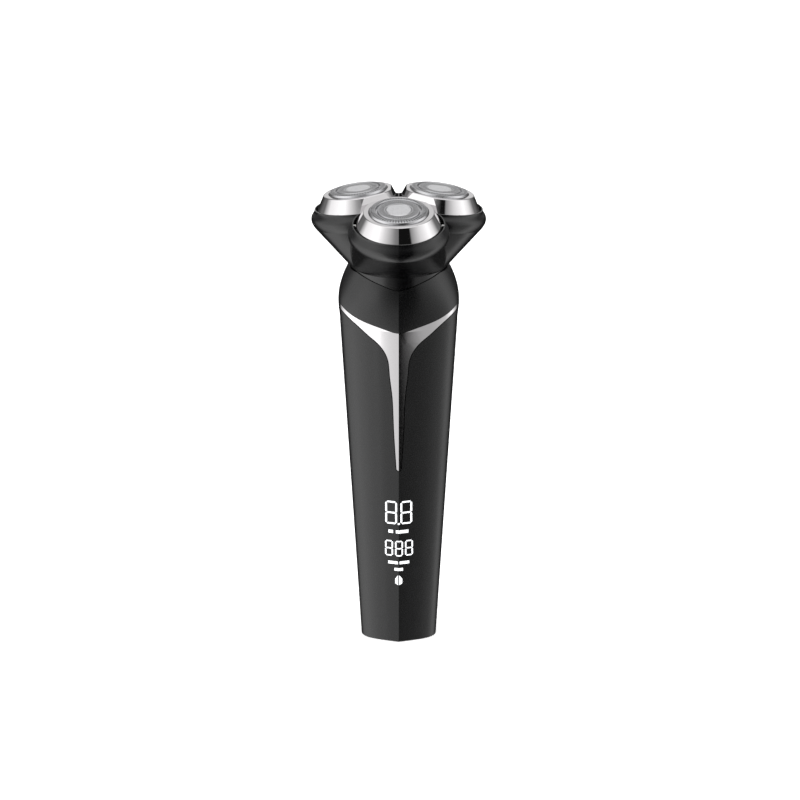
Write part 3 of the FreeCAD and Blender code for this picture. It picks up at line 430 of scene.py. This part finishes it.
# how far the view slides across and up, as shares of its width
SHIFT_ACROSS = 0.0016
SHIFT_UP = 0.0258


def bearing_ramp(tree, share, ring):
    """The brightness round one ring of the studio."""
    ramp = node(tree, "ShaderNodeValToRGB", {"Fac": share})
    stops = ramp.color_ramp.elements
    while len(stops) > 1:
        stops.remove(stops[-1])
    for number, (degrees, level) in enumerate(ring):
        place = (degrees + 180) / 360.0
        stop = stops[0] if number == 0 else stops.new(place)
        stop.position = place
        stop.color = (level, level, level, 1.0)
    return ramp.outputs["Color"]


def studio_world():
    """Soft light from every side with dark flags in it: a lower and an upper ring, and an even top."""
    world = bpy.data.worlds.new("studio")
    bpy.context.scene.world = world
    world.use_nodes = True
    tree = world.node_tree
    tree.nodes.clear()
    way = node(tree, "ShaderNodeTexCoord").outputs["Generated"]
    parts = node(tree, "ShaderNodeSeparateXYZ", {"Vector": way}).outputs
    back = node(tree, "ShaderNodeMath", {0: parts["Y"], 1: -1.0}, operation="MULTIPLY").outputs[0]
    bearing = node(tree, "ShaderNodeMath", {0: parts["X"], 1: back}, operation="ARCTAN2").outputs[0]
    share = node(tree, "ShaderNodeMapRange", {"Value": bearing, "From Min": -math.pi,
                                              "From Max": math.pi}).outputs["Result"]
    above = node(tree, "ShaderNodeMapRange", {"Value": parts["Z"], "From Min": RINGS_MEET[0],
                                              "From Max": RINGS_MEET[1]}).outputs["Result"]
    high = node(tree, "ShaderNodeMapRange", {"Value": parts["Z"], "From Min": TOP_STARTS[0],
                                             "From Max": TOP_STARTS[1]}).outputs["Result"]
    rings = node(tree, "ShaderNodeMix", {
        0: above, MIX_LOW: bearing_ramp(tree, share, LOWER_RING),
        MIX_HIGH: bearing_ramp(tree, share, UPPER_RING)}, data_type="RGBA").outputs[MIX_RESULT]
    light = node(tree, "ShaderNodeMix", {0: high, MIX_LOW: rings, MIX_HIGH: rgba(TOP_LIGHT)},
                 data_type="RGBA").outputs[MIX_RESULT]
    shader = node(tree, "ShaderNodeBackground", {"Color": light, "Strength": 1.0})
    node(tree, "ShaderNodeOutputWorld", {"Surface": shader.outputs["Background"]})


class SHAVER_OT_stage(bpy.types.Operator):
    """Make the floor, the lights and the camera"""
    bl_idname = "shaver.stage"
    bl_label = "Stage"

    def execute(self, context):
        scene = context.scene
        stage = scene.shaver_stage
        sweep = paper_sweep()
        mesh = bpy.data.meshes.new("floor")
        form = bmesh.new()
        bmesh.ops.create_grid(form, x_segments=8, y_segments=8, size=FLOOR_HALF)
        form.to_mesh(mesh)
        form.free()
        mesh.materials.append(sweep)
        floor = bpy.data.objects.new("floor", mesh)
        context.collection.objects.link(floor)
        floor.location.z = -FLOOR_DROP
        floor.visible_glossy = False

        studio_world()
        for name, share, width, height, place, aimed in LAMPS:
            soft_light(name, stage.key * share, width, height, place, (0, 0, aimed))

        camera = bpy.data.cameras.new("camera")
        camera.lens = stage.lens
        camera.sensor_width = SENSOR
        camera.shift_x = SHIFT_ACROSS
        camera.shift_y = SHIFT_UP
        camera.clip_start = 0.05
        holder = bpy.data.objects.new("camera", camera)
        context.collection.objects.link(holder)
        away = Vector((0, -math.cos(stage.elevation), math.sin(stage.elevation))) * stage.distance
        holder.location = Vector((0, 0, stage.aim)) + away
        holder.rotation_euler = (-away).to_track_quat("-Z", "Y").to_euler()
        scene.camera = holder
        scene.view_settings.view_transform = "Standard"
        return {"FINISHED"}


class SHAVER_PT_panel(bpy.types.Panel):
    """Lists the shaver's settings and steps"""
    bl_idname = "SHAVER_PT_panel"
    bl_label = "Shaver"
    bl_space_type = "VIEW_3D"
    bl_region_type = "UI"
    bl_category = "Shaver"

    def draw(self, context):
        for group in (context.scene.shaver_finish, context.scene.shaver_stage):
            for name in group.__annotations__:
                self.layout.prop(group, name)
        for step in STEPS:
            self.layout.operator(step.bl_idname)


STEPS = (SHAVER_OT_shells, SHAVER_OT_inlay, SHAVER_OT_display, SHAVER_OT_head_body, SHAVER_OT_covers,
         SHAVER_OT_guards, SHAVER_OT_cutters, SHAVER_OT_gear_train, SHAVER_OT_motor, SHAVER_OT_power,
         SHAVER_OT_controls, SHAVER_OT_stage)
CLASSES = (ShaverFinish, ShaverStage) + STEPS + (SHAVER_PT_panel,)


def register():
    for kind in CLASSES:
        bpy.utils.register_class(kind)
    bpy.types.Scene.shaver_finish = PointerProperty(type=ShaverFinish)
    bpy.types.Scene.shaver_stage = PointerProperty(type=ShaverStage)


def unregister():
    del bpy.types.Scene.shaver_finish
    del bpy.types.Scene.shaver_stage
    for kind in reversed(CLASSES):
        bpy.utils.unregister_class(kind)


def main():
    register()
    for step in STEPS:
        group, name = step.bl_idname.split(".")
        getattr(getattr(bpy.ops, group), name)()


if __name__ == "__main__":
    main()
